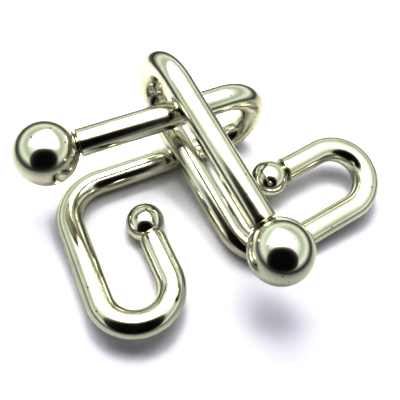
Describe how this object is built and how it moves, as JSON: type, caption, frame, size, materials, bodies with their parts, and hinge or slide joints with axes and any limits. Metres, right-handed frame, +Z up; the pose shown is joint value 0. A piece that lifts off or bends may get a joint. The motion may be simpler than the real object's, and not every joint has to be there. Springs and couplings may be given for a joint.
{
  "type": "disentanglement puzzle",
  "caption": "Metal brain teaser: bent polished rods with ball ends, looped through each other, that slide and turn until they come apart.",
  "frame": {"origin": "on the table, under the middle of the pair of rings", "axes": "+Z up; X along ring A's two straight legs, with its large ball towards -X; +Y away from both hooks"},
  "size_m": [0.0788, 0.0592, 0.0319],
  "materials": {
    "nickel_rod_a": "polished nickel plate on steel",
    "nickel_ball_big_a": "polished nickel plate on steel",
    "nickel_ball_small_a": "polished nickel plate on steel",
    "nickel_rod_b": "polished nickel plate on steel",
    "nickel_ball_big_b": "polished nickel plate on steel",
    "nickel_ball_small_b": "polished nickel plate on steel"
  },
  "bodies": {
    "ring_a": {"rod_a": "nickel_rod_a", "ball_big_a": "nickel_ball_big_a", "ball_small_a": "nickel_ball_small_a"},
    "ring_b": {"rod_b": "nickel_rod_b", "ball_big_b": "nickel_ball_big_b", "ball_small_b": "nickel_ball_small_b"}
  },
  "joints": [
    {"name": "ring_b_slide", "type": "slide", "parent": "ring_a", "child": "ring_b", "axis": [1, 0, 0], "range_m": [-0.0075, 0.01]}
  ]
}
